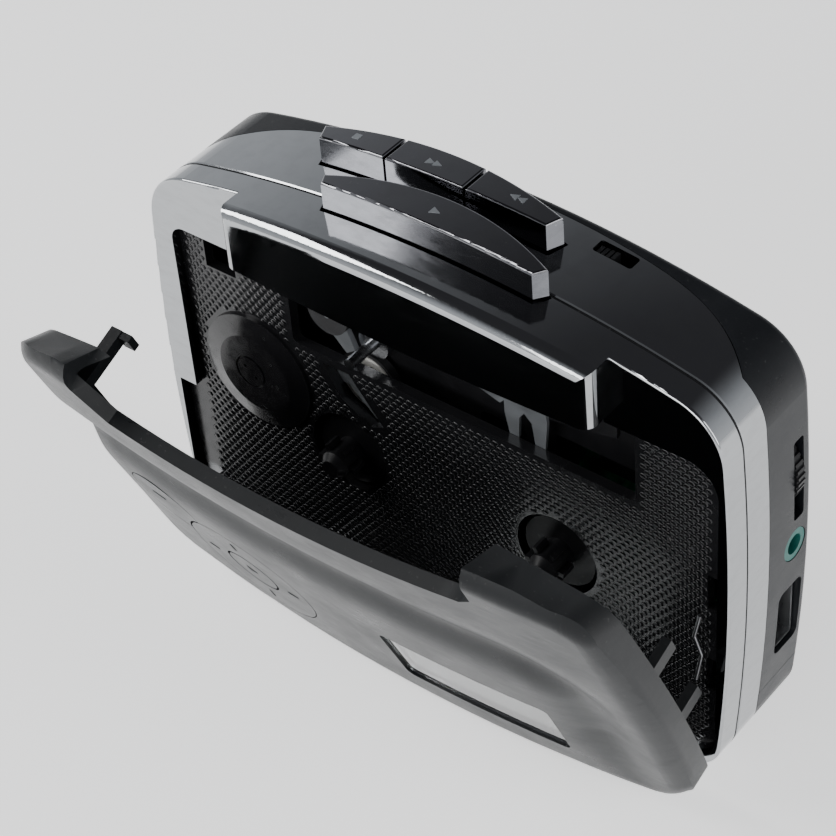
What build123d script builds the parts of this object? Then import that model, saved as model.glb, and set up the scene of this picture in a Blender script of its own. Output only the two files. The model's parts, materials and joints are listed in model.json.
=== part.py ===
from build123d import *
import math
import os

# Portable cassette player with USB output, door swung open.
# Origin: centre of the flat back face. +X to the player's right as the door
# is faced, +Y out of the back, +Z towards the keys. Millimetres.

# ---- overall size -------------------------------------------------------
WIDTH = 114.0
HEIGHT = 84.0
DEPTH = 23.0
FRONT_Y = -DEPTH
BASE_Z = -HEIGHT / 2
HALF_W = WIDTH / 2
CORNER_X = 55.0
TOP_CORNER_Z = 76.9
BOTTOM_CORNER_Z = 2.4
TOP_R = 11.0
BOTTOM_R = 7.0

# ---- depth of each layer, counted back from the front face ---------------
FRAME_PLATE = 1.6
FRAME_END = 5.2
BAND_START = 5.3
BAND_END = 10.9
SHELL_START = 11.0
WALL = 1.4
TOP_WALL = 1.8
SHELL_WALL = 1.5
BACK_PLATE = 1.5
GAP = 0.1
DECK_FRONT = 1.7
DECK_BACK = 3.6
CHASSIS_FRONT = 7.6
CHASSIS_BACK = 8.6

# ---- cassette well -------------------------------------------------------
WELL_LEFT = -51.6
WELL_RIGHT = 54.8
WELL_BOTTOM = 3.6
WELL_TOP = 68.0
NOTCH_LEFT = -55.3
NOTCH_TOP = 33.0
NOTCH_BOTTOM = 10.5
BAY_LEFT = -28.5
BAY_RIGHT = 39.0
BAY_BOTTOM = 52.6
BAY_TOP = 74.0
HUB_LEFT_X = -18.75
HUB_RIGHT_X = 23.75
HUB_Z = 33.0
HUB_RECESS_R = 7.75
MOTOR_X = -37.3
MOTOR_Z = 42.2
MOTOR_R = 10.4
DOME_R = 11.3
CAPSTAN_X = -14.0
CAPSTAN_Z = 56.5

# ---- hood over the head bay ----------------------------------------------
HOOD_LEFT = -35.0
HOOD_RIGHT = 35.8
HOOD_BOTTOM = 70.2
HOOD_DEPTH = 6.2
HOOD_BOW = 1.0
HOOD_WALL = 1.2

# ---- door ----------------------------------------------------------------
HINGE_Y = -3.0
HINGE_Z = 2.4
DOOR_OPEN = 23.4
DOOR_RIM = -0.9
DOOR_EDGE = -8.6
DOOR_MID = -11.0
DOOR_SIDE = -7.0
DOOR_TOP_RIM = 75.8
DOOR_TOP_EDGE = 80.4
DOOR_TOP_DROP = 7.0
DOOR_CORNER_R = 6.5
DOOR_WALL = 2.6
DOOR_SKIRT = 2.0
DOOR_CUT_LEFT = -40.5
DOOR_CUT_RIGHT = 36.6
WINDOW_LEFT = 3.4
WINDOW_RIGHT = 35.6
WINDOW_LOW = 10.0
WINDOW_HIGH = 26.5
PAD_X = -27.0
PAD_Z = 19.5
PAD_R = 13.2
PAD_BUTTON_R = 5.2
PAD_GAP = 0.2
SMALL_PAD_X = -42.0
SMALL_PAD_Z = 30.5
SMALL_PAD_R = 7.6
BUTTON_THICK = 2.3
LUG_X = 30.0
LUG_WIDTH = 5.0
LUG_R = 1.7
PIN_R = 0.75
RUN = 0.05

# ---- keys ----------------------------------------------------------------
KEY_RISE = 5.2
KEY_GAP = 0.45
KEY_CAP_LOW = 77.8
GUIDE_LOW = 71.8
GUIDE_HIGH = 73.4
KEY_STEM_LOW = 66.5
KEY_SOFT = 0.4

# ---- side fittings ---------------------------------------------------------
JACK_Y = 18.3
JACK_Z = 40.2
JACK_R = 2.9
JACK_BORE_R = 1.8
USB_Y = 17.7
USB_Z = 24.7
USB_LONG = 12.8
USB_THICK = 5.7
WHEEL_X = 49.4
WHEEL_Y = 19.2
WHEEL_Z = 53.2
WHEEL_R = 7.9
WHEEL_T = 2.0
SWITCH_X = 24.4
SWITCH_Y = 18.4

# ---- batteries -------------------------------------------------------------
CELL_R = 7.0
CELL_LEN = 49.2
CELL_NUB = 1.0
CELL_Y = 14.1
CELL_Z = 10.8
BATTERY_LID_TOP = 12.0


def facing(y):
    return Plane(
        origin=(0, FRONT_Y + y, BASE_Z), x_dir=(1, 0, 0), z_dir=(0, -1, 0)
    )


def plan(z):
    return Plane(
        origin=(0, FRONT_Y, BASE_Z + z), x_dir=(1, 0, 0), z_dir=(0, 0, 1)
    )


def sideways(x):
    return Plane(
        origin=(x, FRONT_Y, BASE_Z), x_dir=(0, 1, 0), z_dir=(1, 0, 0)
    )


def swung(y, z):
    a = math.radians(DOOR_OPEN)
    dy = y - HINGE_Y
    dz = z - HINGE_Z
    return (
        0,
        FRONT_Y + HINGE_Y + dy * math.cos(a) - dz * math.sin(a),
        BASE_Z + HINGE_Z + dz * math.cos(a) + dy * math.sin(a),
    )


def tilted(y):
    a = math.radians(DOOR_OPEN)
    normal = (0, -math.cos(a), -math.sin(a))
    return Plane(origin=swung(y, 0), x_dir=(1, 0, 0), z_dir=normal)


def tilted_plan(z):
    a = math.radians(DOOR_OPEN)
    up = (0, -math.sin(a), math.cos(a))
    return Plane(origin=swung(0, z), x_dir=(1, 0, 0), z_dir=up)


def tilted_side(x):
    a = math.radians(DOOR_OPEN)
    at = swung(0, 0)
    inward = (0, math.cos(a), math.sin(a))
    return Plane(origin=(x, at[1], at[2]), x_dir=inward, z_dir=(1, 0, 0))


def rounded_outline(inset=0.0, top=HEIGHT, drop=HEIGHT - TOP_CORNER_Z, corner_r=TOP_R):
    x = CORNER_X - inset
    z_top = top - drop - inset
    z_low = BOTTOM_CORNER_Z + inset
    mid = HEIGHT / 2
    with BuildSketch(Plane.XY) as profile:
        with BuildLine():
            ThreePointArc((-x, z_top), (0, top - inset), (x, z_top))
            ThreePointArc((x, z_top), (HALF_W - inset, mid), (x, z_low))
            ThreePointArc((x, z_low), (0, inset), (-x, z_low))
            ThreePointArc((-x, z_low), (inset - HALF_W, mid), (-x, z_top))
        make_face()
        fillet(profile.vertices().group_by(Axis.Y)[0], max(BOTTOM_R - inset, 3.0))
        fillet(profile.vertices().group_by(Axis.Y)[-1], max(corner_r - inset, 5.0))
    return profile.sketch


def box_at(x0, x1, y0, y1, z0, z1):
    with BuildPart() as block:
        with BuildSketch(plan(z0)):
            with Locations(((x0 + x1) / 2, (y0 + y1) / 2)):
                Rectangle(x1 - x0, y1 - y0)
        extrude(amount=z1 - z0)
    return block.part


CASE = rounded_outline()
CASE_INNER = rounded_outline(WALL)
SHELL_INNER = rounded_outline(SHELL_WALL)
TOP_INNER = rounded_outline(TOP_WALL)
DECK_EDGE = rounded_outline(WALL + 0.2)

with BuildSketch(Plane.XY) as well_opening:
    with Locations(
        ((WELL_LEFT + WELL_RIGHT) / 2, (WELL_BOTTOM + WELL_TOP) / 2)
    ):
        Rectangle(WELL_RIGHT - WELL_LEFT, WELL_TOP - WELL_BOTTOM)
    fillet(well_opening.vertices().group_by(Axis.Y)[0], 6.5)
    fillet(well_opening.vertices().group_by(Axis.Y)[-1].sort_by(Axis.X)[-1], 6.0)
    fillet(well_opening.vertices().group_by(Axis.Y)[-1].sort_by(Axis.X)[0], 3.0)
    with Locations(
        ((NOTCH_LEFT + WELL_LEFT) / 2 + 0.5, (NOTCH_BOTTOM + NOTCH_TOP) / 2)
    ):
        Rectangle(WELL_LEFT - NOTCH_LEFT + 1.0, NOTCH_TOP - NOTCH_BOTTOM)

# Front play key and the three rear keys, seen in plan.
REAR_FRONT = 12.2
REAR_LEFT = -29.0
REAR_RIGHT = 17.2


def play_key_plan(grow):
    with BuildSketch(Plane.XY) as shape:
        with BuildLine():
            Polyline(
                (-20.0 - grow, 4.3),
                (-18.9 - grow, 2.2 - grow),
                (20.9 + grow, 2.2 - grow),
                (22.2 + grow, 4.5),
            )
            ThreePointArc(
                (22.2 + grow, 4.5), (1.0, 9.0 + grow), (-20.0 - grow, 4.3)
            )
        make_face()
    return shape.sketch


def rear_key_plan(grow, left, right):
    with BuildSketch(Plane.XY) as shape:
        with BuildLine():
            Polyline(
                (REAR_LEFT - grow, 15.4 + grow),
                (REAR_LEFT - grow + 1.4, REAR_FRONT - grow),
                (REAR_RIGHT + grow - 1.0, REAR_FRONT - grow),
                (REAR_RIGHT + grow, 15.2 + grow),
            )
            ThreePointArc(
                (REAR_RIGHT + grow, 15.2 + grow),
                (-5.9, 18.4 + grow),
                (REAR_LEFT - grow, 15.4 + grow),
            )
        make_face()
        with Locations(((left + right) / 2, 15.0)):
            Rectangle(right - left, 14.0, mode=Mode.INTERSECT)
    return shape.sketch


def tongue_plan(grow):
    with BuildSketch(Plane.XY) as shape:
        with BuildLine():
            Spline(
                (52.0 + grow, 10.4),
                (48.0 + grow, 13.9 + grow),
                (43.3, 16.9 + grow),
                (38.5, 18.7 + grow),
                (30.0, 20.1 + grow),
                (0.0, 20.9 + grow),
                (-30.0, 20.1 + grow),
                (-38.5, 18.7 + grow),
                (-43.3, 16.9 + grow),
                (-48.0 - grow, 13.9 + grow),
                (-52.0 - grow, 10.4),
            )
            Line((-52.0 - grow, 10.4), (52.0 + grow, 10.4))
        make_face()
    return shape.sketch


# ---- chrome front frame with hood and hinge lugs ---------------------------
with BuildPart() as hood_room:
    with BuildSketch(plan(HOOD_BOTTOM)):
        with BuildLine():
            Polyline(
                (HOOD_LEFT + HOOD_WALL, -HOOD_DEPTH + HOOD_BOW + HOOD_WALL),
                (HOOD_LEFT + HOOD_WALL, FRAME_PLATE + 0.2),
                (HOOD_RIGHT - HOOD_WALL, FRAME_PLATE + 0.2),
                (HOOD_RIGHT - HOOD_WALL, -HOOD_DEPTH + HOOD_BOW + HOOD_WALL),
            )
            ThreePointArc(
                (HOOD_RIGHT - HOOD_WALL, -HOOD_DEPTH + HOOD_BOW + HOOD_WALL),
                (0.4, -HOOD_DEPTH + HOOD_WALL),
                (HOOD_LEFT + HOOD_WALL, -HOOD_DEPTH + HOOD_BOW + HOOD_WALL),
            )
        make_face()
    extrude(amount=20.0)
    with BuildSketch(facing(3.0)):
        add(CASE_INNER)
    extrude(amount=14.0, mode=Mode.INTERSECT)
    with BuildSketch(facing(FRAME_PLATE + 0.2)):
        with Locations(((HOOD_LEFT + HOOD_RIGHT) / 2, HOOD_BOTTOM - 1.5)):
            Rectangle(HOOD_RIGHT - HOOD_LEFT - 2 * HOOD_WALL, 3.2)
    extrude(amount=FRAME_PLATE + 0.2)

with BuildPart() as hood:
    with BuildSketch(plan(HOOD_BOTTOM)):
        with BuildLine():
            Polyline(
                (HOOD_LEFT, -HOOD_DEPTH + HOOD_BOW),
                (HOOD_LEFT, 0.8),
                (HOOD_RIGHT, 0.8),
                (HOOD_RIGHT, -HOOD_DEPTH + HOOD_BOW),
            )
            ThreePointArc(
                (HOOD_RIGHT, -HOOD_DEPTH + HOOD_BOW),
                (0.4, -HOOD_DEPTH),
                (HOOD_LEFT, -HOOD_DEPTH + HOOD_BOW),
            )
        make_face()
    extrude(amount=20.0)
    with BuildSketch(facing(1.0)):
        add(CASE)
    extrude(amount=12.0, mode=Mode.INTERSECT)
    front_edges = hood.edges().filter_by(
        lambda e: e.center().Y < FRONT_Y - 3.0
        and e.center().Z > BASE_Z + HOOD_BOTTOM + 3.0
    )
    fillet(front_edges, 2.3)
    add(hood_room.part, mode=Mode.SUBTRACT)

with BuildPart() as front_frame:
    with BuildSketch(facing(FRAME_END)):
        add(CASE)
    extrude(amount=FRAME_END)
    fillet(front_frame.edges().group_by(Axis.Y)[0], 0.5)
    chamfer(front_frame.edges().group_by(Axis.Y)[-1], 0.2)
    with BuildSketch(facing(FRAME_END)):
        add(CASE_INNER)
    extrude(amount=FRAME_END - FRAME_PLATE, mode=Mode.SUBTRACT)
    with BuildSketch(facing(FRAME_END)):
        add(well_opening.sketch)
    extrude(amount=FRAME_END, mode=Mode.SUBTRACT)
    add(hood.part)
    add(hood_room.part, mode=Mode.SUBTRACT)
    with BuildSketch(plan(70.0)):
        add(play_key_plan(KEY_GAP))
    extrude(amount=20.0, mode=Mode.SUBTRACT)
    for lug_x in (-LUG_X, LUG_X):
        with BuildSketch(sideways(lug_x - LUG_WIDTH / 2)):
            with Locations((HINGE_Y, HINGE_Z)):
                Circle(LUG_R)
            with Locations(((HINGE_Y + 0.6) / 2, HINGE_Z)):
                Rectangle(0.6 - HINGE_Y, 2 * LUG_R - 0.8)
        extrude(amount=LUG_WIDTH)
        with BuildSketch(sideways(lug_x - LUG_WIDTH / 2)):
            with Locations((HINGE_Y, HINGE_Z)):
                Circle(PIN_R + 0.01)
        extrude(amount=LUG_WIDTH, mode=Mode.SUBTRACT)

# ---- chrome middle band with the top plate ----------------------------------
with BuildPart() as tongue:
    with BuildSketch(facing(21.3)):
        add(CASE)
        add(TOP_INNER, mode=Mode.SUBTRACT)
    extrude(amount=21.3 - BAND_END + 0.4)
    with BuildSketch(plan(64.0)):
        add(tongue_plan(0.0))
    extrude(amount=30.0, mode=Mode.INTERSECT)

with BuildPart() as middle_band:
    with BuildSketch(facing(BAND_END)):
        add(CASE)
    extrude(amount=BAND_END - BAND_START)
    chamfer(middle_band.edges().group_by(Axis.Y)[0], 0.2)
    with BuildSketch(facing(BAND_END)):
        add(CASE_INNER)
    extrude(amount=BAND_END - BAND_START, mode=Mode.SUBTRACT)
    add(tongue.part)
    with BuildSketch(plan(70.0)):
        add(play_key_plan(KEY_GAP))
        add(rear_key_plan(KEY_GAP, -40.0, 40.0))
        with Locations((SWITCH_X, SWITCH_Y)):
            RectangleRounded(7.0, 2.8, 0.5)
    extrude(amount=20.0, mode=Mode.SUBTRACT)

# ---- matte back shell ---------------------------------------------------------
POSTS = [(-50.2, 64.5), (47.5, 68.0), (-50.2, 21.0), (14.5, 21.2)]
POST_R = 2.5
SCREW_R = 1.0
SCREW_HEAD_R = 1.9

with BuildPart() as lid_room:
    add(box_at(-46.2, 70.0, SHELL_START - 1.0, 40.0, -5.0, BATTERY_LID_TOP + 0.1))

with BuildPart() as back_shell:
    with BuildSketch(facing(DEPTH)):
        add(CASE)
    extrude(amount=DEPTH - SHELL_START)
    fillet(back_shell.edges().group_by(Axis.Y)[-1], 1.4)
    with BuildSketch(facing(DEPTH - BACK_PLATE)):
        add(SHELL_INNER)
    extrude(amount=DEPTH - BACK_PLATE - SHELL_START, mode=Mode.SUBTRACT)
    with BuildSketch(plan(66.0)):
        add(tongue_plan(0.12))
    extrude(amount=30.0, mode=Mode.SUBTRACT)
    with BuildSketch(facing(DEPTH - 1.0)):
        with Locations(POSTS):
            Circle(POST_R)
    extrude(amount=DEPTH - 1.0 - DECK_BACK - GAP)
    with BuildSketch(facing(DEPTH)):
        with Locations(POSTS):
            Circle(SCREW_HEAD_R + 0.15)
    extrude(amount=2.4, mode=Mode.SUBTRACT)
    with BuildSketch(facing(DEPTH)):
        with Locations(POSTS):
            Circle(SCREW_R + 0.05)
    extrude(amount=DEPTH - DECK_BACK - 1.5, mode=Mode.SUBTRACT)
    add(lid_room.part, mode=Mode.SUBTRACT)
    with BuildSketch(sideways(40.0)):
        with Locations((USB_Y, USB_Z)):
            RectangleRounded(USB_THICK + 0.9, USB_LONG + 0.9, 1.4)
        with Locations((JACK_Y, JACK_Z)):
            Circle(JACK_R + 0.1)
        with Locations((WHEEL_Y, WHEEL_Z)):
            RectangleRounded(WHEEL_T + 0.7, 15.8, 0.6)
    extrude(amount=30.0, mode=Mode.SUBTRACT)

# ---- battery lid: bottom, right end and the foot of the back -------------------
with BuildPart() as lid_block:
    add(box_at(-46.1, 70.0, SHELL_START + 0.05, 40.0, -5.0, BATTERY_LID_TOP))

with BuildPart() as battery_lid:
    with BuildSketch(facing(DEPTH)):
        add(CASE)
    extrude(amount=DEPTH - SHELL_START)
    fillet(battery_lid.edges().group_by(Axis.Y)[-1], 1.4)
    with BuildSketch(facing(DEPTH - BACK_PLATE)):
        add(SHELL_INNER)
    extrude(amount=DEPTH - BACK_PLATE - SHELL_START, mode=Mode.SUBTRACT)
    add(lid_block.part, mode=Mode.INTERSECT)
    with BuildSketch(facing(DEPTH)):
        with Locations((30.0, 7.4)):
            with GridLocations(0.0, 1.8, 1, 4):
                Rectangle(10.0, 0.8)
    extrude(amount=0.4, mode=Mode.SUBTRACT)

# ---- case screws -----------------------------------------------------------------
with BuildPart() as case_screws:
    with BuildSketch(facing(DEPTH - 0.9)):
        with Locations(POSTS):
            Circle(SCREW_HEAD_R)
    extrude(amount=1.45)
    with BuildSketch(facing(DEPTH - 0.9)):
        with Locations(POSTS):
            Circle(SCREW_R)
    extrude(amount=DEPTH - 0.9 - 6.0)
    with BuildSketch(facing(DEPTH - 0.9)):
        with Locations(POSTS):
            Rectangle(2.4, 0.5)
            Rectangle(0.5, 2.4)
    extrude(amount=0.7, mode=Mode.SUBTRACT)

# ---- deck floor of the well ---------------------------------------------------------
ARM_X = 53.2
ARM_T = 1.6
ARM_ZS = [23.0, 41.0]
ARM_HALF = 1.5
HOOK_X = -43.9
HOOK_Z = 65.6

with BuildSketch(Plane.XY) as brake_slot:
    with BuildLine():
        Polyline(
            (-22.6, 50.9),
            (-17.0, 50.9),
            (-10.6, 42.6),
            (-13.4, 41.2),
            (-19.0, 44.6),
            close=True,
        )
    make_face()

with BuildPart() as deck:
    with BuildSketch(facing(DECK_BACK)):
        add(DECK_EDGE)
        with Locations((0.0, 80.5)):
            Rectangle(2 * WIDTH, 20.0, mode=Mode.SUBTRACT)
        with Locations(
            ((BAY_LEFT + BAY_RIGHT) / 2, (BAY_BOTTOM + BAY_TOP) / 2)
        ):
            RectangleRounded(
                BAY_RIGHT - BAY_LEFT,
                BAY_TOP - BAY_BOTTOM,
                1.2,
                mode=Mode.SUBTRACT,
            )
        with Locations((HUB_LEFT_X, HUB_Z), (HUB_RIGHT_X, HUB_Z)):
            Circle(HUB_RECESS_R, mode=Mode.SUBTRACT)
        with Locations(*[(ARM_X, z) for z in ARM_ZS]):
            Rectangle(ARM_T + 0.8, 7.0, mode=Mode.SUBTRACT)
        with Locations((HOOK_X + 0.9, HOOK_Z - 1.2)):
            Rectangle(6.4, 7.4, mode=Mode.SUBTRACT)
        add(brake_slot.sketch, mode=Mode.SUBTRACT)
    extrude(amount=DECK_BACK - DECK_FRONT)

with BuildPart() as motor_dome:
    with BuildSketch(facing(DECK_FRONT - 0.03)):
        with Locations((MOTOR_X, MOTOR_Z)):
            Circle(DOME_R)
    extrude(amount=0.5)
    with BuildSketch(facing(DECK_FRONT - 0.53)):
        with Locations((MOTOR_X, MOTOR_Z)):
            Circle(DOME_R - 0.2)
    extrude(amount=0.75, taper=78.0)
    with BuildSketch(facing(DECK_FRONT - 1.9)):
        with Locations((MOTOR_X - 0.9, MOTOR_Z)):
            Circle(3.2)
            Circle(2.85, mode=Mode.SUBTRACT)
            with Locations((-1.1, 0.9), (1.1, -0.9)):
                Circle(0.3)
    extrude(amount=-1.0, mode=Mode.SUBTRACT)

# ---- chassis plate -------------------------------------------------------------------
IDLER_X = -15.88
IDLER_Z = 47.2
SHAFT_R = 1.0

with BuildPart() as chassis_plate:
    with BuildSketch(facing(CHASSIS_BACK)):
        with Locations((-15.0, 45.6)):
            Rectangle(70.0, 49.4)
        with Locations((30.0, 61.3)):
            Rectangle(22.0, 18.0)
        with Locations(POSTS):
            Circle(POST_R + 0.4, mode=Mode.SUBTRACT)
        with Locations((HUB_RIGHT_X - 14.0, HUB_Z + 10.0)):
            RectangleRounded(9.0, 14.0, 1.0, mode=Mode.SUBTRACT)
        with Locations((MOTOR_X, MOTOR_Z)):
            Circle(3.2, mode=Mode.SUBTRACT)
        with Locations((CAPSTAN_X, CAPSTAN_Z)):
            Circle(2.0, mode=Mode.SUBTRACT)
        with Locations((HUB_LEFT_X, HUB_Z), (IDLER_X, IDLER_Z)):
            Circle(SHAFT_R, mode=Mode.SUBTRACT)
    extrude(amount=CHASSIS_BACK - CHASSIS_FRONT)
    with BuildSketch(facing(CHASSIS_BACK)):
        with Locations((HUB_RIGHT_X, HUB_Z)):
            Circle(5.0)
        with Locations((19.5, HUB_Z)):
            Rectangle(8.0, 10.0)
        with Locations((HUB_RIGHT_X, HUB_Z)):
            Circle(SHAFT_R, mode=Mode.SUBTRACT)
    extrude(amount=CHASSIS_BACK - CHASSIS_FRONT)

# ---- reel spindles, each on its fixed shaft ---------------------------------------------
with BuildPart() as spindle_shafts:
    with BuildSketch(facing(CHASSIS_BACK)):
        with Locations((HUB_LEFT_X, HUB_Z), (HUB_RIGHT_X, HUB_Z)):
            Circle(SHAFT_R)
    extrude(amount=CHASSIS_BACK + 1.6)
    with BuildSketch(facing(CHASSIS_BACK)):
        with Locations((IDLER_X, IDLER_Z)):
            Circle(SHAFT_R)
    extrude(amount=CHASSIS_BACK - 4.4)


def spindle(x, wheel_r):
    with BuildPart() as body:
        with BuildSketch(facing(6.9)):
            with Locations((x, HUB_Z)):
                Circle(wheel_r)
        extrude(amount=1.9)
        with BuildSketch(facing(5.0)):
            with Locations((x, HUB_Z)):
                Circle(6.8)
        extrude(amount=2.4)
        with BuildSketch(facing(2.6)):
            with Locations((x, HUB_Z)):
                Circle(2.6)
        extrude(amount=4.8)
        with BuildSketch(facing(-2.2)):
            with Locations((x, HUB_Z)):
                Circle(2.6)
        extrude(amount=1.2, taper=40.0)
        with BuildSketch(facing(1.0)):
            with Locations((x, HUB_Z)):
                with PolarLocations(2.9, 6):
                    Rectangle(1.7, 0.9)
        extrude(amount=2.8)
        with BuildSketch(facing(7.0)):
            with Locations((x, HUB_Z)):
                Circle(SHAFT_R + RUN)
        extrude(amount=8.65, mode=Mode.SUBTRACT)
    return body.part


takeup_spindle = spindle(HUB_LEFT_X, 8.0)
supply_spindle = spindle(HUB_RIGHT_X, 8.0)

with BuildPart() as idler_wheel:
    with BuildSketch(facing(6.9)):
        with Locations((IDLER_X, IDLER_Z)):
            Circle(5.5)
            Circle(SHAFT_R + RUN, mode=Mode.SUBTRACT)
            with PolarLocations(3.3, 5):
                Circle(0.8, mode=Mode.SUBTRACT)
    extrude(amount=1.9)

with BuildPart() as idler_tyre:
    with BuildSketch(facing(6.7)):
        with Locations((IDLER_X, IDLER_Z)):
            Circle(6.19)
            Circle(5.5, mode=Mode.SUBTRACT)
    extrude(amount=1.5)

# ---- capstan, flywheel and its bearing ------------------------------------------------------
with BuildPart() as capstan_shaft:
    with BuildSketch(facing(20.6)):
        with Locations((CAPSTAN_X, CAPSTAN_Z)):
            Circle(SHAFT_R)
    extrude(amount=20.6 + 1.2)
    with BuildSketch(facing(6.9)):
        with Locations((CAPSTAN_X, CAPSTAN_Z)):
            Circle(3.0)
    extrude(amount=1.9)

with BuildPart() as capstan_bearing:
    with BuildSketch(facing(9.2)):
        with Locations((CAPSTAN_X, CAPSTAN_Z)):
            Circle(2.0)
            Circle(SHAFT_R + RUN, mode=Mode.SUBTRACT)
    extrude(amount=2.0)

with BuildPart() as flywheel:
    with BuildSketch(facing(14.2)):
        with Locations((CAPSTAN_X, CAPSTAN_Z)):
            Circle(13.6)
            Circle(11.0, mode=Mode.SUBTRACT)
    extrude(amount=4.4)
    with BuildSketch(facing(12.6)):
        with Locations((CAPSTAN_X, CAPSTAN_Z)):
            Circle(11.0)
    extrude(amount=1.6)
    with BuildSketch(facing(20.4)):
        with Locations((CAPSTAN_X, CAPSTAN_Z)):
            Circle(3.4)
    extrude(amount=8.0)
    with BuildSketch(facing(20.4)):
        with Locations((CAPSTAN_X, CAPSTAN_Z)):
            Circle(8.6)
    extrude(amount=0.5)
    with BuildSketch(facing(19.9)):
        with Locations((CAPSTAN_X, CAPSTAN_Z)):
            Circle(7.8)
    extrude(amount=1.4)
    with BuildSketch(facing(18.5)):
        with Locations((CAPSTAN_X, CAPSTAN_Z)):
            Circle(8.6)
    extrude(amount=0.5)
    with BuildSketch(facing(20.4)):
        with Locations((CAPSTAN_X, CAPSTAN_Z)):
            Circle(SHAFT_R)
    extrude(amount=12.0, mode=Mode.SUBTRACT)

# ---- motor, pulley and belt ----------------------------------------------------------------
with BuildPart() as motor:
    with BuildSketch(facing(17.3)):
        with Locations((MOTOR_X, MOTOR_Z)):
            Circle(MOTOR_R)
    extrude(amount=17.3 - CHASSIS_BACK - GAP)
    fillet(motor.edges().filter_by(GeomType.CIRCLE), 0.8)
    with BuildSketch(facing(CHASSIS_BACK + 0.5)):
        with Locations((MOTOR_X, MOTOR_Z)):
            Circle(3.0)
    extrude(amount=2.0)
    with BuildSketch(facing(17.4)):
        with Locations((MOTOR_X, MOTOR_Z)):
            Circle(0.85)
    extrude(amount=9.0, mode=Mode.SUBTRACT)

with BuildPart() as motor_pulley:
    with BuildSketch(facing(20.6)):
        with Locations((MOTOR_X, MOTOR_Z)):
            Circle(0.8)
    extrude(amount=10.0)
    with BuildSketch(facing(20.4)):
        with Locations((MOTOR_X, MOTOR_Z)):
            Circle(3.0)
    extrude(amount=0.5)
    with BuildSketch(facing(19.9)):
        with Locations((MOTOR_X, MOTOR_Z)):
            Circle(2.2)
    extrude(amount=1.4)
    with BuildSketch(facing(18.5)):
        with Locations((MOTOR_X, MOTOR_Z)):
            Circle(3.0)
    extrude(amount=0.5)

with BuildPart() as drive_belt:
    with BuildSketch(facing(19.7)):
        with Locations((MOTOR_X, MOTOR_Z)):
            Circle(2.25 + 0.8)
        with Locations((CAPSTAN_X, CAPSTAN_Z)):
            Circle(7.85 + 0.8)
        make_hull()
    extrude(amount=1.0)
    with BuildSketch(facing(19.7)):
        with Locations((MOTOR_X, MOTOR_Z)):
            Circle(2.25)
        with Locations((CAPSTAN_X, CAPSTAN_Z)):
            Circle(7.85)
        make_hull()
    extrude(amount=1.0, mode=Mode.SUBTRACT)

# ---- pinch roller on its swinging arm --------------------------------------------------------
PINCH_X = -14.3
PINCH_Z = 69.3
PIVOT_X = -27.0
PIVOT_Z = 66.8

with BuildPart() as pinch_arm:
    with BuildSketch(facing(4.75)):
        with BuildLine():
            Polyline(
                (-30.0, 68.6),
                (-28.0, 70.0),
                (-12.4, 71.4),
                (-12.2, 67.2),
                (-21.4, 65.6),
                (-16.9, 54.6),
                (-18.8, 53.2),
                (-25.4, 60.0),
                (-30.0, 64.4),
                close=True,
            )
        make_face()
        with Locations((PIVOT_X, PIVOT_Z)):
            Circle(SHAFT_R + RUN, mode=Mode.SUBTRACT)
    extrude(amount=1.0)
    with BuildSketch(facing(4.0)):
        with Locations((PINCH_X, PINCH_Z)):
            Circle(0.8)
    extrude(amount=8.7)

with BuildPart() as pinch_roller:
    with BuildSketch(facing(-0.5)):
        with Locations((PINCH_X, PINCH_Z)):
            Circle(4.0)
            Circle(0.8 + RUN, mode=Mode.SUBTRACT)
    extrude(amount=4.1)

with BuildPart() as pinch_pivot:
    with BuildSketch(facing(CHASSIS_FRONT - 0.02)):
        with Locations((PIVOT_X, PIVOT_Z)):
            Circle(1.8)
    extrude(amount=CHASSIS_FRONT - 0.02 - 4.85)
    with BuildSketch(facing(4.9)):
        with Locations((PIVOT_X, PIVOT_Z)):
            Circle(SHAFT_R)
    extrude(amount=1.2)

# ---- brake lever seen through the slot in the deck -------------------------------------------------
BRAKE_X = -24.4
BRAKE_Z = 47.2

with BuildPart() as brake_lever:
    with BuildSketch(facing(4.33)):
        with BuildLine():
            Polyline(
                (-26.0, 48.6),
                (-19.4, 49.9),
                (-17.8, 49.2),
                (-12.6, 42.2),
                (-13.6, 41.5),
                (-18.9, 46.6),
                (-26.0, 45.8),
                close=True,
            )
        make_face()
        with Locations((BRAKE_X, BRAKE_Z)):
            Circle(0.8 + RUN, mode=Mode.SUBTRACT)
    extrude(amount=0.68)

with BuildPart() as brake_pivot:
    with BuildSketch(facing(CHASSIS_FRONT - 0.02)):
        with Locations((BRAKE_X, BRAKE_Z)):
            Circle(1.4)
    extrude(amount=CHASSIS_FRONT - 0.02 - 4.38)
    with BuildSketch(facing(4.4)):
        with Locations((BRAKE_X, BRAKE_Z)):
            Circle(0.8)
    extrude(amount=0.76)

# ---- head bridge with the tape head -------------------------------------------------------------
HEAD_X = 2.5
HEAD_LOW = 69.4
SHELF_LOW = 73.0

with BuildPart() as head_bridge:
    with BuildSketch(facing(5.15)):
        with BuildLine():
            Polyline(
                (-9.0, 73.8),
                (-9.0, 63.4),
                (6.0, 62.0),
                (22.0, 58.6),
                (34.0, 61.0),
                (34.0, 69.6),
                (16.0, 70.6),
                (15.0, 73.8),
                close=True,
            )
        make_face()
        with Locations((27.5, 65.35)):
            SlotOverall(6.0, 2.4, rotation=90, mode=Mode.SUBTRACT)
        with Locations((-5.5, 67.85)):
            SlotOverall(6.0, 2.4, rotation=90, mode=Mode.SUBTRACT)
    extrude(amount=0.85)
    with BuildSketch(facing(4.5)):
        with Locations((HEAD_X, SHELF_LOW + 0.4)):
            Rectangle(14.0, 0.8)
    extrude(amount=8.9)

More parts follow.
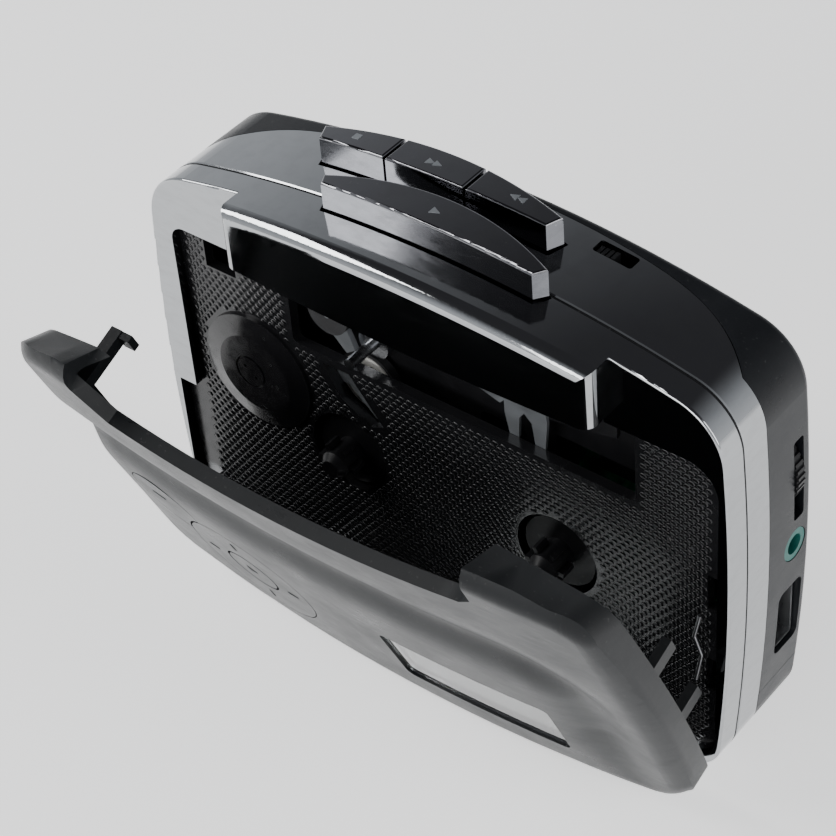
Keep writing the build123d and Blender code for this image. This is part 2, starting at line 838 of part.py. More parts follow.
# Bright sensing fork and tab riveted to the front of the bridge.
with BuildPart() as bridge_fork:
    with BuildSketch(facing(4.28)):
        with BuildLine():
            Polyline(
                (13.2, 61.8),
                (13.2, 56.6),
                (14.0, 52.6),
                (15.8, 52.4),
                (16.0, 56.6),
                (17.0, 58.0),
                (18.4, 56.6),
                (19.0, 52.0),
                (20.8, 51.8),
                (21.4, 58.0),
                (21.0, 61.8),
                close=True,
            )
        make_face()
        with BuildLine():
            Polyline(
                (5.2, 61.6),
                (5.6, 60.0),
                (12.4, 58.0),
                (13.4, 59.2),
                (13.4, 61.6),
                close=True,
            )
        make_face()
    extrude(amount=0.6)

with BuildPart() as tape_head:
    with BuildSketch(facing(-0.6)):
        with Locations((HEAD_X, (HEAD_LOW + SHELF_LOW) / 2 - 0.02)):
            RectangleRounded(11.0, SHELF_LOW - HEAD_LOW - 0.04, 0.8)
    extrude(amount=3.7)

with BuildPart() as head_guide_posts:
    with BuildSketch(facing(CHASSIS_FRONT - 0.02)):
        with Locations((27.5, 64.0), (-5.5, 66.5)):
            Circle(1.1)
    extrude(amount=4.0)

# ---- keys -------------------------------------------------------------------------------------------
with BuildSketch(Plane.XY) as key_crown:
    with BuildLine():
        ThreePointArc(
            (-CORNER_X, TOP_CORNER_Z + KEY_RISE),
            (0.0, HEIGHT + KEY_RISE),
            (CORNER_X, TOP_CORNER_Z + KEY_RISE),
        )
        Polyline(
            (CORNER_X, TOP_CORNER_Z + KEY_RISE),
            (CORNER_X, KEY_CAP_LOW),
            (-CORNER_X, KEY_CAP_LOW),
            (-CORNER_X, TOP_CORNER_Z + KEY_RISE),
        )
    make_face()

KEY_STEMS = {"stop": -22.0, "forward": -7.0, "rewind": 9.0, "play": 1.0}
REAR_STEM_Y = 16.2
PLAY_STEM_Y = 6.3
STEM_W = 3.0
STEM_T = 1.9


def key_body(cap_plan, stem_x, stem_y):
    with BuildPart() as key:
        with BuildSketch(plan(KEY_CAP_LOW)):
            add(cap_plan)
        extrude(amount=20.0)
        with BuildSketch(facing(24.0)):
            add(key_crown.sketch)
        extrude(amount=26.0, mode=Mode.INTERSECT)
        crown = key.faces().sort_by(Axis.Z)[-1]
        fillet(crown.edges(), KEY_SOFT)
        with BuildSketch(plan(KEY_STEM_LOW)):
            with Locations((stem_x, stem_y)):
                Rectangle(STEM_W, STEM_T)
        extrude(amount=KEY_CAP_LOW + 1.0 - KEY_STEM_LOW)
        with BuildSketch(plan(KEY_STEM_LOW)):
            with Locations((stem_x, stem_y)):
                Rectangle(STEM_W + 1.6, STEM_T)
        extrude(amount=1.0)
    return key.part


stop_key = key_body(
    rear_key_plan(0.0, -40.0, -14.8), KEY_STEMS["stop"], REAR_STEM_Y
)
forward_key = key_body(
    rear_key_plan(0.0, -14.3, 0.7), KEY_STEMS["forward"], REAR_STEM_Y
)
rewind_key = key_body(
    rear_key_plan(0.0, 1.2, 40.0), KEY_STEMS["rewind"], REAR_STEM_Y
)
play_key = key_body(play_key_plan(0.0), KEY_STEMS["play"], PLAY_STEM_Y)

with BuildPart() as key_guide:
    with BuildSketch(plan(GUIDE_LOW)):
        with Locations((-0.5, 12.3)):
            Rectangle(61.0, 14.2)
        for name in KEY_STEMS:
            stem_y = PLAY_STEM_Y if name == "play" else REAR_STEM_Y
            with Locations((KEY_STEMS[name], stem_y)):
                Rectangle(STEM_W + 0.6, STEM_T + 0.6, mode=Mode.SUBTRACT)
    extrude(amount=GUIDE_HIGH - GUIDE_LOW)
    with BuildSketch(plan(70.32)):
        with Locations((-28.0, 8.1), (14.0, 8.1)):
            Rectangle(3.0, 0.9)
    extrude(amount=GUIDE_LOW + 0.2 - 70.32)

with BuildPart() as latch_bar:
    with BuildSketch(plan(69.6)):
        with Locations((-6.5, REAR_STEM_Y)):
            Rectangle(44.0, 3.4)
        for name in ("stop", "forward", "rewind"):
            with Locations((KEY_STEMS[name] - 0.6, REAR_STEM_Y)):
                Rectangle(STEM_W + 2.6, STEM_T + 0.5, mode=Mode.SUBTRACT)
    extrude(amount=0.6)


def key_spring(stem_x, stem_y):
    wire_r = 0.18
    turns = 3.0
    low = GUIDE_HIGH + wire_r + 0.05
    rise = KEY_CAP_LOW - GUIDE_HIGH - 2 * wire_r - 0.1
    with BuildPart() as spring:
        with BuildLine(plan(low)) as coil:
            Helix(rise / turns, rise, 2.1, center=(stem_x, stem_y, 0.0))
        start = coil.line @ 0
        along = coil.line % 0
        with BuildSketch(Plane(origin=start, z_dir=along)):
            Circle(wire_r)
        sweep(path=coil.line)
    return spring.part


stop_spring = key_spring(KEY_STEMS["stop"], REAR_STEM_Y)
forward_spring = key_spring(KEY_STEMS["forward"], REAR_STEM_Y)
rewind_spring = key_spring(KEY_STEMS["rewind"], REAR_STEM_Y)
play_spring = key_spring(KEY_STEMS["play"], PLAY_STEM_Y)

# ---- door: barrel-fronted shell on two knuckles ---------------------------------------------------


def barrel(back):
    with BuildPart() as body:
        with BuildSketch(tilted_plan(-6.0)):
            with BuildLine():
                ThreePointArc(
                    (-HALF_W - 3.0, DOOR_SIDE + 0.4 + back),
                    (0.0, DOOR_MID + back),
                    (HALF_W + 3.0, DOOR_SIDE + 0.4 + back),
                )
                Polyline(
                    (HALF_W + 3.0, DOOR_SIDE + 0.4 + back),
                    (HALF_W + 3.0, 9.0),
                    (-HALF_W - 3.0, 9.0),
                    (-HALF_W - 3.0, DOOR_SIDE + 0.4 + back),
                )
            make_face()
        extrude(amount=100.0)
    return body.part


def door_outline(inset, grow):
    return rounded_outline(inset, DOOR_TOP_RIM + grow, DOOR_TOP_DROP, DOOR_CORNER_R)


def door_body(inset, rim):
    with BuildPart() as body:
        with BuildSketch(tilted(rim)):
            add(door_outline(inset, 0.0))
        with BuildSketch(tilted(DOOR_EDGE)):
            add(door_outline(inset, DOOR_TOP_EDGE - DOOR_TOP_RIM))
        loft()
        with BuildSketch(tilted(DOOR_EDGE)):
            add(door_outline(inset, DOOR_TOP_EDGE - DOOR_TOP_RIM))
        extrude(amount=4.0)
    return body.part


def between(outer, inner, plan_sketch):
    with BuildPart() as body:
        with BuildSketch(tilted(9.0)):
            add(plan_sketch)
        extrude(amount=22.0)
        add(barrel(outer), mode=Mode.INTERSECT)
        add(barrel(inner), mode=Mode.SUBTRACT)
    return body.part


def swung_box(x0, x1, y0, y1, z0, z1):
    with BuildPart() as body:
        with BuildSketch(tilted_plan(z0)):
            with Locations(((x0 + x1) / 2, (y0 + y1) / 2)):
                Rectangle(x1 - x0, y1 - y0)
        extrude(amount=z1 - z0)
    return body.part


with BuildSketch(Plane.XY) as window_plan:
    with Locations(
        ((WINDOW_LEFT + WINDOW_RIGHT) / 2, (WINDOW_LOW + WINDOW_HIGH) / 2)
    ):
        RectangleRounded(WINDOW_RIGHT - WINDOW_LEFT, WINDOW_HIGH - WINDOW_LOW, 1.4)

with BuildSketch(Plane.XY) as pad_plan:
    with Locations((PAD_X, PAD_Z)):
        Circle(PAD_R)
    with Locations((SMALL_PAD_X, SMALL_PAD_Z)):
        Circle(SMALL_PAD_R)

with BuildSketch(Plane.XY) as cut_plan:
    with BuildLine():
        Polyline(
            (DOOR_CUT_LEFT + 5.0, 65.6),
            (DOOR_CUT_LEFT, 72.0),
            (DOOR_CUT_LEFT, 90.0),
            (DOOR_CUT_RIGHT, 90.0),
            (DOOR_CUT_RIGHT, 69.8),
            (DOOR_CUT_RIGHT - 2.6, 67.6),
        )
        ThreePointArc(
            (DOOR_CUT_RIGHT - 2.6, 67.6),
            (0.0, 64.8),
            (DOOR_CUT_LEFT + 5.0, 65.6),
        )
    make_face()

with BuildPart() as knuckle_room:
    for lug_x in (-LUG_X, LUG_X):
        with BuildSketch(tilted_side(lug_x - LUG_WIDTH / 2 - 0.3)):
            with Locations((HINGE_Y, HINGE_Z)):
                Circle(LUG_R + 0.4)
            with Locations((HINGE_Y + 2.0, HINGE_Z - 1.0)):
                Rectangle(4.0, 8.0)
        extrude(amount=LUG_WIDTH + 0.6)

with BuildPart() as lip_room:
    with BuildSketch(tilted_side(-HALF_W - 3.0)):
        with Locations((HINGE_Y + 3.0, HINGE_Z - 3.0)):
            Rectangle(6.0, 6.0)
        with Locations((HINGE_Y, HINGE_Z)):
            Circle(2.55, mode=Mode.SUBTRACT)
    extrude(amount=WIDTH + 6.0)

with BuildPart() as door_room:
    add(door_body(DOOR_SKIRT, DOOR_RIM + 0.3))
    add(barrel(DOOR_WALL), mode=Mode.INTERSECT)

with BuildPart() as door_shell:
    add(door_body(0.0, DOOR_RIM))
    add(barrel(0.0), mode=Mode.INTERSECT)
    add(door_room.part, mode=Mode.SUBTRACT)
    add(between(-3.0, 12.5, cut_plan.sketch), mode=Mode.SUBTRACT)
    add(between(-3.0, 9.0, window_plan.sketch), mode=Mode.SUBTRACT)
    add(between(-3.0, 9.0, pad_plan.sketch), mode=Mode.SUBTRACT)
    for knuckle_x in (-LUG_X - 5.2, -LUG_X + 5.2, LUG_X - 5.2, LUG_X + 5.2):
        with BuildSketch(tilted_side(knuckle_x - 2.0)):
            with Locations((HINGE_Y, HINGE_Z)):
                Circle(LUG_R)
            with Locations((HINGE_Y - 1.0, HINGE_Z - 1.0)):
                Rectangle(2.0, 2.0)
        extrude(amount=4.0)
    for arm_z in ARM_ZS:
        add(swung_box(
            ARM_X - ARM_T / 2, ARM_X + ARM_T / 2,
            -5.0, 5.7, arm_z - ARM_HALF, arm_z + ARM_HALF,
        ))
        add(swung_box(
            ARM_X - ARM_T / 2, HALF_W - 0.9,
            -5.0, -1.2, arm_z - ARM_HALF, arm_z + ARM_HALF,
        ))
    add(swung_box(
        HOOK_X - 1.1, HOOK_X + 1.1, -8.0, 4.6, HOOK_Z - 1.2, HOOK_Z + 1.2
    ))
    add(swung_box(
        HOOK_X + 1.0, HOOK_X + 3.2, 3.3, 4.6, HOOK_Z - 1.9, HOOK_Z + 1.0
    ))
    add(lip_room.part, mode=Mode.SUBTRACT)
    add(knuckle_room.part, mode=Mode.SUBTRACT)
    with BuildSketch(tilted_side(-LUG_X - 9.0)):
        with Locations((HINGE_Y, HINGE_Z)):
            Circle(PIN_R + RUN)
    extrude(amount=18.0, mode=Mode.SUBTRACT)
    with BuildSketch(tilted_side(LUG_X - 9.0)):
        with Locations((HINGE_Y, HINGE_Z)):
            Circle(PIN_R + RUN)
    extrude(amount=18.0, mode=Mode.SUBTRACT)

with BuildPart() as hinge_pins:
    for lug_x in (-LUG_X, LUG_X):
        with BuildSketch(sideways(lug_x - 7.0)):
            with Locations((HINGE_Y, HINGE_Z)):
                Circle(PIN_R)
        extrude(amount=14.0)

with BuildSketch(Plane.XY) as pane_plan:
    with Locations(
        ((WINDOW_LEFT + WINDOW_RIGHT) / 2, (WINDOW_LOW + WINDOW_HIGH) / 2)
    ):
        RectangleRounded(
            WINDOW_RIGHT - WINDOW_LEFT - 0.1, WINDOW_HIGH - WINDOW_LOW - 0.1, 1.35
        )

with BuildSketch(Plane.XY) as flange_plan:
    with Locations(
        ((WINDOW_LEFT + WINDOW_RIGHT) / 2, (WINDOW_LOW + WINDOW_HIGH) / 2)
    ):
        RectangleRounded(
            WINDOW_RIGHT - WINDOW_LEFT + 3.0, WINDOW_HIGH - WINDOW_LOW + 3.0, 2.0
        )

with BuildPart() as door_window:
    add(between(0.5, DOOR_WALL + 0.1, pane_plan.sketch))
    add(between(DOOR_WALL + 0.02, DOOR_WALL + 0.6, flange_plan.sketch))

with BuildSketch(Plane.XY) as ring_plan:
    with Locations((PAD_X, PAD_Z)):
        Circle(PAD_R - PAD_GAP)
        Circle(PAD_BUTTON_R + PAD_GAP, mode=Mode.SUBTRACT)

with BuildSketch(Plane.XY) as centre_plan:
    with Locations((PAD_X, PAD_Z)):
        Circle(PAD_BUTTON_R - PAD_GAP)

with BuildSketch(Plane.XY) as small_plan:
    with Locations((SMALL_PAD_X, SMALL_PAD_Z)):
        Circle(SMALL_PAD_R - PAD_GAP)
    with Locations((PAD_X, PAD_Z)):
        Circle(PAD_R + PAD_GAP, mode=Mode.SUBTRACT)

with BuildSketch(Plane.XY) as film_plan:
    with Locations((PAD_X, PAD_Z)):
        Circle(PAD_R + 1.7)
    with Locations((SMALL_PAD_X, SMALL_PAD_Z)):
        Circle(SMALL_PAD_R + 1.7)

with BuildSketch(Plane.XY) as film_hole_plan:
    with Locations((PAD_X, PAD_Z)):
        Circle(PAD_R + 0.3)
    with Locations((SMALL_PAD_X, SMALL_PAD_Z)):
        Circle(SMALL_PAD_R + 0.3)

with BuildPart() as ring_button:
    add(between(0.0, BUTTON_THICK, ring_plan.sketch))

with BuildPart() as centre_button:
    add(between(0.0, BUTTON_THICK, centre_plan.sketch))

with BuildPart() as small_button:
    add(between(0.0, BUTTON_THICK, small_plan.sketch))

with BuildPart() as button_film:
    add(between(DOOR_WALL + 0.02, DOOR_WALL + 0.6, film_plan.sketch))
    add(between(DOOR_WALL - 0.2, DOOR_WALL + 0.4, film_hole_plan.sketch), mode=Mode.SUBTRACT)

with BuildPart() as door_spring:
    with BuildLine(facing(0.9)) as bent_wire:
        Polyline(
            (51.2, 36.0),
            (50.2, 31.0),
            (51.6, 27.5),
            (50.6, 21.5),
        )
    with BuildSketch(Plane(origin=bent_wire.line @ 0, z_dir=bent_wire.line % 0)):
        Circle(0.35)
    sweep(path=bent_wire.line, transition=Transition.ROUND)

# ---- circuit board and side fittings -----------------------------------------------------------------
PCB_FRONT = 12.6
PCB_BACK = 14.2

with BuildPart() as main_board:
    with BuildSketch(facing(PCB_BACK)):
        with Locations((37.2, 42.0)):
            Rectangle(33.4, 45.0)
        with Locations((37.2, 30.0)):
            Circle(1.5, mode=Mode.SUBTRACT)
    extrude(amount=PCB_BACK - PCB_FRONT)

with BuildPart() as board_chips:
    with BuildSketch(facing(PCB_FRONT - 0.02)):
        with Locations((30.0, 50.0)):
            Rectangle(9.0, 9.0)
        with Locations((43.0, 36.0)):
            Rectangle(5.0, 6.4)
        with Locations((31.0, 28.0)):
            Rectangle(4.0, 8.0)
    extrude(amount=1.4)

with BuildPart() as usb_shell:
    with BuildSketch(sideways(43.0)):
        with Locations((USB_Y, USB_Z)):
            RectangleRounded(USB_THICK, USB_LONG, 0.5)
            RectangleRounded(USB_THICK - 0.7, USB_LONG - 0.7, 0.3, mode=Mode.SUBTRACT)
    extrude(amount=12.6)
    with BuildSketch(sideways(43.0)):
        with Locations((USB_Y, USB_Z)):
            RectangleRounded(USB_THICK, USB_LONG, 0.5)
    extrude(amount=0.6)

with BuildPart() as usb_tongue:
    with BuildSketch(sideways(43.62)):
        with Locations((USB_Y - 1.2, USB_Z)):
            Rectangle(1.8, USB_LONG - 2.2)
    extrude(amount=9.6)

with BuildPart() as audio_jack:
    with BuildSketch(sideways(43.5)):
        with Locations(((PCB_BACK + 0.05 + 21.2) / 2, JACK_Z)):
            Rectangle(21.2 - PCB_BACK - 0.05, 6.4)
    extrude(amount=11.0)
    with BuildSketch(sideways(54.5)):
        with Locations((JACK_Y, JACK_Z)):
            Circle(JACK_R)
    extrude(amount=2.4)
    with BuildSketch(sideways(45.0)):
        with Locations((JACK_Y, JACK_Z)):
            Circle(JACK_BORE_R)
    extrude(amount=20.0, mode=Mode.SUBTRACT)

with BuildPart() as volume_pot:
    with BuildSketch(facing(17.9)):
        with Locations((WHEEL_X, WHEEL_Z)):
            Circle(5.4)
    extrude(amount=17.9 - PCB_BACK - 0.05)
    with BuildSketch(facing(17.9)):
        with Locations((WHEEL_X, WHEEL_Z)):
            Circle(1.55)
    extrude(amount=2.2, mode=Mode.SUBTRACT)

with BuildPart() as volume_wheel:
    with BuildSketch(facing(WHEEL_Y + WHEEL_T / 2)):
        with Locations((WHEEL_X, WHEEL_Z)):
            Circle(WHEEL_R)
            with PolarLocations(WHEEL_R, 40):
                Circle(0.35, mode=Mode.SUBTRACT)
    extrude(amount=WHEEL_T)
    with BuildSketch(facing(WHEEL_Y)):
        with Locations((WHEEL_X, WHEEL_Z)):
            Circle(1.5)
    extrude(amount=WHEEL_Y - 15.9)

with BuildPart() as switch_body:
    with BuildSketch(plan(GUIDE_HIGH + 0.03)):
        with Locations((SWITCH_X, SWITCH_Y - 0.9)):
            Rectangle(10.0, 4.6)
    extrude(amount=5.0)
    with BuildSketch(plan(77.0)):
        with Locations((SWITCH_X, SWITCH_Y)):
            Rectangle(7.0, 2.2, mode=Mode.ADD)
    extrude(amount=5.0, mode=Mode.SUBTRACT)

with BuildPart() as switch_knob:
    with BuildSketch(plan(77.1)):
        with Locations((SWITCH_X - 1.5, SWITCH_Y)):
            Rectangle(3.4, 1.8)
    extrude(amount=5.2)
    with BuildSketch(plan(82.0)):
        with Locations((SWITCH_X - 1.5, SWITCH_Y)):
            with GridLocations(0.9, 0.0, 3, 1):
                Rectangle(0.3, 1.8)
    extrude(amount=0.4, mode=Mode.SUBTRACT)

# ---- batteries and contacts ---------------------------------------------------------------------------
with BuildPart() as battery_cells:
    for start_x in (-50.2, 0.1):
        with BuildSketch(sideways(start_x)):
            with Locations((CELL_Y, CELL_Z)):
                Circle(CELL_R)
        extrude(amount=CELL_LEN)
        with BuildSketch(sideways(start_x + CELL_LEN)):
            with Locations((CELL_Y, CELL_Z)):
                Circle(2.7)
        extrude(amount=CELL_NUB)

with BuildPart() as battery_contacts:
    for plate_x in (-52.9, 50.4):
        with BuildSketch(sideways(plate_x)):
            with Locations((CELL_Y, CELL_Z)):
                RectangleRounded(9.0, 8.0, 1.0)
        extrude(amount=0.4)

with BuildPart() as battery_spring:
    with BuildLine() as contact_coil:
        Helix(
            0.55,
            1.65,
            3.2,
            center=(-52.25, FRONT_Y + CELL_Y, BASE_Z + CELL_Z),
            direction=(1, 0, 0),
        )
    with BuildSketch(
        Plane(origin=contact_coil.line @ 0, z_dir=contact_coil.line % 0)
    ):
        Circle(0.2)
    sweep(path=contact_coil.line)

# ---- one file for each piece ----------------------------------------------------------------------------
PIECES = {
    "front_frame": front_frame.part,
    "middle_band": middle_band.part,
    "back_shell": back_shell.part,
    "battery_lid": battery_lid.part,
    "case_screws": case_screws.part,
    "deck": deck.part,
    "motor_dome": motor_dome.part,
    "chassis_plate": chassis_plate.part,
    "spindle_shafts": spindle_shafts.part,
    "takeup_spindle": takeup_spindle,
    "supply_spindle": supply_spindle,
    "idler_wheel": idler_wheel.part,
    "idler_tyre": idler_tyre.part,
    "capstan_shaft": capstan_shaft.part,
    "capstan_bearing": capstan_bearing.part,
    "flywheel": flywheel.part,
    "motor": motor.part,
    "motor_pulley": motor_pulley.part,
    "drive_belt": drive_belt.part,
    "pinch_arm": pinch_arm.part,
    "pinch_roller": pinch_roller.part,
    "pinch_pivot": pinch_pivot.part,
    "brake_lever": brake_lever.part,
    "brake_pivot": brake_pivot.part,
    "head_bridge": head_bridge.part,
    "bridge_fork": bridge_fork.part,
    "tape_head": tape_head.part,
    "head_guide_posts": head_guide_posts.part,
    "key_stop": stop_key,
    "key_forward": forward_key,
    "key_rewind": rewind_key,
    "key_play": play_key,
    "key_guide": key_guide.part,
    "latch_bar": latch_bar.part,
    "spring_stop": stop_spring,
    "spring_forward": forward_spring,
    "spring_rewind": rewind_spring,
    "spring_play": play_spring,
    "door_shell": door_shell.part,
    "hinge_pins": hinge_pins.part,
    "door_window": door_window.part,
    "ring_button": ring_button.part,
    "centre_button": centre_button.part,
    "small_button": small_button.part,
    "button_film": button_film.part,
    "door_spring": door_spring.part,
    "main_board": main_board.part,
    "board_chips": board_chips.part,
    "usb_shell": usb_shell.part,
    "usb_tongue": usb_tongue.part,
    "audio_jack": audio_jack.part,
    "volume_pot": volume_pot.part,
    "volume_wheel": volume_wheel.part,
    "switch_body": switch_body.part,
    "switch_knob": switch_knob.part,
    "battery_cells": battery_cells.part,
    "battery_contacts": battery_contacts.part,
    "battery_spring": battery_spring.part,
}

os.makedirs("parts", exist_ok=True)
for piece_name, piece in PIECES.items():
    piece.label = piece_name
    export_step(piece, "parts/" + piece_name + ".step")
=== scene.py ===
import json
import math

import bmesh
import bpy
from mathutils import Matrix, Vector


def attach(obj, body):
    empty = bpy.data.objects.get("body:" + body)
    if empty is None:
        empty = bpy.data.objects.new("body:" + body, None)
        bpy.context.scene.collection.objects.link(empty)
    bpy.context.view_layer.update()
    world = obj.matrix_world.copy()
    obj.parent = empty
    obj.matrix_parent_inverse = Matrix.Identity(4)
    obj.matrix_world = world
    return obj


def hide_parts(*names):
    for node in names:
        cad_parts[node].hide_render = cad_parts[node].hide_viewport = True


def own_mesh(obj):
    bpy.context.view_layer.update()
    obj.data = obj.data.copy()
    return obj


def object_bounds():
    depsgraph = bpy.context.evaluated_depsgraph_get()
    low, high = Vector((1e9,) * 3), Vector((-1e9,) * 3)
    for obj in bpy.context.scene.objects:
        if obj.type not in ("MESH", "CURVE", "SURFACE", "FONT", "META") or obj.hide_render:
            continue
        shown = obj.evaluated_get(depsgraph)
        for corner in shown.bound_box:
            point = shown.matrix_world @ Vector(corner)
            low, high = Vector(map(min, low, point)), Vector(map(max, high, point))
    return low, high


MM = 0.001

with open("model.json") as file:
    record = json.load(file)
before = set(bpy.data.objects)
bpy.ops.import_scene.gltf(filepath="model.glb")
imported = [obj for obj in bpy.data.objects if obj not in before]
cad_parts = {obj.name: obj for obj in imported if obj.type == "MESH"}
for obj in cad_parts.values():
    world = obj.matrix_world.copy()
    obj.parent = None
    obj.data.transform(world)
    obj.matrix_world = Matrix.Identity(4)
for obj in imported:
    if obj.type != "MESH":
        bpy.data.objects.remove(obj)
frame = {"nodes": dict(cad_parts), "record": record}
cad_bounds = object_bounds()
nodes = frame["nodes"]


# ---- node helpers --------------------------------------------------------------------------
class Tree:
    """A material's node tree, with short calls for the nodes that the finishes share."""

    def __init__(self, name):
        self.material = bpy.data.materials.new(name)
        self.material.use_nodes = True
        self.nodes = self.material.node_tree.nodes
        self.links = self.material.node_tree.links
        self.shader = self.nodes["Principled BSDF"]
        self.coords = self.nodes.new("ShaderNodeTexCoord")

    def put(self, socket, value):
        if isinstance(value, bpy.types.NodeSocket):
            self.links.new(value, socket)
        elif value is not None:
            socket.default_value = value

    def mapping(self, scale, rotation=(0, 0, 0)):
        node = self.nodes.new("ShaderNodeMapping")
        self.links.new(self.coords.outputs["Object"], node.inputs["Vector"])
        node.inputs["Scale"].default_value = scale
        node.inputs["Rotation"].default_value = rotation
        return node.outputs["Vector"]

    def noise(self, scale, detail=4.0, roughness=0.55, vector=None, distortion=0.0):
        node = self.nodes.new("ShaderNodeTexNoise")
        self.put(node.inputs["Vector"], vector or self.coords.outputs["Object"])
        node.inputs["Scale"].default_value = scale
        node.inputs["Detail"].default_value = detail
        node.inputs["Roughness"].default_value = roughness
        node.inputs["Distortion"].default_value = distortion
        return node.outputs["Fac"]

    def cells(self, scale, feature="F1", vector=None):
        node = self.nodes.new("ShaderNodeTexVoronoi")
        node.feature = feature
        self.put(node.inputs["Vector"], vector or self.coords.outputs["Object"])
        node.inputs["Scale"].default_value = scale
        return node.outputs["Distance"]

    def span(self, value, low, high, to_low, to_high):
        node = self.nodes.new("ShaderNodeMapRange")
        self.put(node.inputs["Value"], value)
        node.inputs["From Min"].default_value = low
        node.inputs["From Max"].default_value = high
        node.inputs["To Min"].default_value = to_low
        node.inputs["To Max"].default_value = to_high
        return node.outputs["Result"]

    def math(self, kind, a, b=None):
        node = self.nodes.new("ShaderNodeMath")
        node.operation = kind
        self.put(node.inputs[0], a)
        if b is not None:
            self.put(node.inputs[1], b)
        return node.outputs["Value"]

    def mix(self, factor, a, b):
        node = self.nodes.new("ShaderNodeMix")
        node.data_type = "RGBA"
        self.put(node.inputs["Factor"], factor)
        self.put(node.inputs["A"], a)
        self.put(node.inputs["B"], b)
        return node.outputs["Result"]

    def bump(self, height, distance, strength=1.0, normal=None):
        node = self.nodes.new("ShaderNodeBump")
        self.put(node.inputs["Height"], height)
        node.inputs["Distance"].default_value = distance
        node.inputs["Strength"].default_value = strength
        if normal is not None:
            self.links.new(normal, node.inputs["Normal"])
        return node.outputs["Normal"]

    def set(self, **values):
        for key, value in values.items():
            self.put(self.shader.inputs[key.replace("_", " ")], value)


DUST = (0.32, 0.32, 0.31, 1.0)
GRAIN_SCALE = 9000.0
GRAIN_DEPTH = 0.00002


def shade(colour, factor):
    return tuple(min(1.0, c * factor) for c in colour) + (1.0,)


def plastic(name, colour, rough=0.45, shine=0.5, vary=0.18):
    """Moulded plastic: a fine spark-eroded grain, soft patches of wear and a little dust."""
    t = Tree(name)
    patches = t.noise(90.0, 3.0)
    specks = t.noise(1400.0, 2.0)
    patchy = t.span(patches, 0.3, 0.7, 0.0, 1.0)
    tone = t.mix(patchy, shade(colour, 1.0 - vary), shade(colour, 1.0 + vary))
    dust = t.span(specks, 0.66, 0.80, 0.0, 0.10)
    t.set(Base_Color=t.mix(dust, tone, DUST))
    scuffs = t.noise(340.0, 5.0, vector=t.mapping((1.0, 1.0, 4.0), (0.3, 0.2, 0.5)))
    wear = t.math("ADD", patches, t.math("MULTIPLY", scuffs, 0.6))
    t.set(Roughness=t.span(wear, 0.5, 1.1, rough - 0.07, rough + 0.08))
    fine = t.bump(t.cells(GRAIN_SCALE), GRAIN_DEPTH, 0.5)
    t.set(Normal=t.bump(patches, 0.00004, 0.25, fine))
    t.set(Specular_IOR_Level=shine)
    return t.material


def gloss(name, colour, rough=0.16, vary=0.2):
    """Glossy moulded plastic with faint ripples and finger marks."""
    t = Tree(name)
    patches = t.noise(60.0, 3.0)
    marks = t.noise(420.0, 5.0, distortion=0.4)
    patchy = t.span(patches, 0.35, 0.65, 0.0, 1.0)
    t.set(Base_Color=t.mix(patchy, shade(colour, 1.0 - vary), shade(colour, 1.0 + vary)))
    t.set(Roughness=t.span(marks, 0.35, 0.75, rough, rough + 0.16))
    t.set(Normal=t.bump(patches, 0.00005, 0.3, t.bump(marks, 0.000006, 0.3)))
    return t.material


def plating(name, colour, rough=0.06, haze=0.08, ripple=0.00004):
    """Vacuum plated plastic: mirror finish, slight moulding ripple, wiping haze and pin specks."""
    t = Tree(name)
    swirl = t.noise(38.0, 2.0)
    wipes = t.noise(260.0, 6.0, 0.6, t.mapping((1.0, 1.0, 3.2), (0.0, 0.5, 0.2)))
    pins = t.span(t.noise(2600.0, 1.0), 0.74, 0.80, 0.0, 1.0)
    tone = t.mix(t.span(wipes, 0.45, 0.75, 0.0, 0.5), shade(colour, 1.0), shade(colour, 0.82))
    t.set(Base_Color=t.mix(t.math("MULTIPLY", pins, 0.25), tone, (0.5, 0.5, 0.5, 1.0)))
    t.set(Metallic=1.0)
    t.set(Roughness=t.span(wipes, 0.4, 0.8, rough, rough + haze))
    t.set(Normal=t.bump(swirl, ripple, 0.35))
    return t.material


def metal(name, colour, rough=0.3, stretch=(1.0, 1.0, 30.0), scale=300.0, spin=(0, 0, 0)):
    """Drawn, turned or plated metal with fine lines and patchy dulling."""
    t = Tree(name)
    lines = t.noise(scale, 3.0, 0.6, t.mapping(stretch, spin))
    patches = t.noise(150.0, 4.0)
    patchy = t.span(patches, 0.3, 0.7, 0.0, 1.0)
    t.set(Base_Color=t.mix(patchy, shade(colour, 0.86), shade(colour, 1.08)))
    t.set(Metallic=1.0)
    t.set(Roughness=t.span(t.math("ADD", lines, patches), 0.6, 1.4, rough - 0.08, rough + 0.14))
    t.set(Normal=t.bump(lines, 0.00001, 0.4))
    return t.material


def rubber(name, colour):
    """Ground rubber: matt with fine radial grain and paler bloom."""
    t = Tree(name)
    bloom = t.noise(500.0, 4.0)
    fine = t.noise(6000.0, 2.0)
    t.set(Base_Color=t.mix(t.span(bloom, 0.45, 0.8, 0.0, 0.6), shade(colour, 1.0), shade(colour, 2.4)))
    t.set(Roughness=t.span(bloom, 0.3, 0.7, 0.62, 0.82))
    t.set(Normal=t.bump(fine, 0.00002, 0.5))
    return t.material


def clear(name, tint):
    """Clear moulded pane with faint scratches."""
    t = Tree(name)
    scratches = t.noise(700.0, 4.0, 0.7, t.mapping((9.0, 1.0, 1.0), (0.0, 0.35, 0.0)))
    t.set(Base_Color=t.mix(t.span(scratches, 0.4, 0.8, 0.0, 0.3), tint, shade(tint[:3], 0.9)))
    t.set(Roughness=t.span(scratches, 0.5, 0.85, 0.03, 0.16))
    t.set(IOR=1.49, Transmission_Weight=1.0)
    t.set(Normal=t.bump(scratches, 0.000006, 0.3))
    return t.material


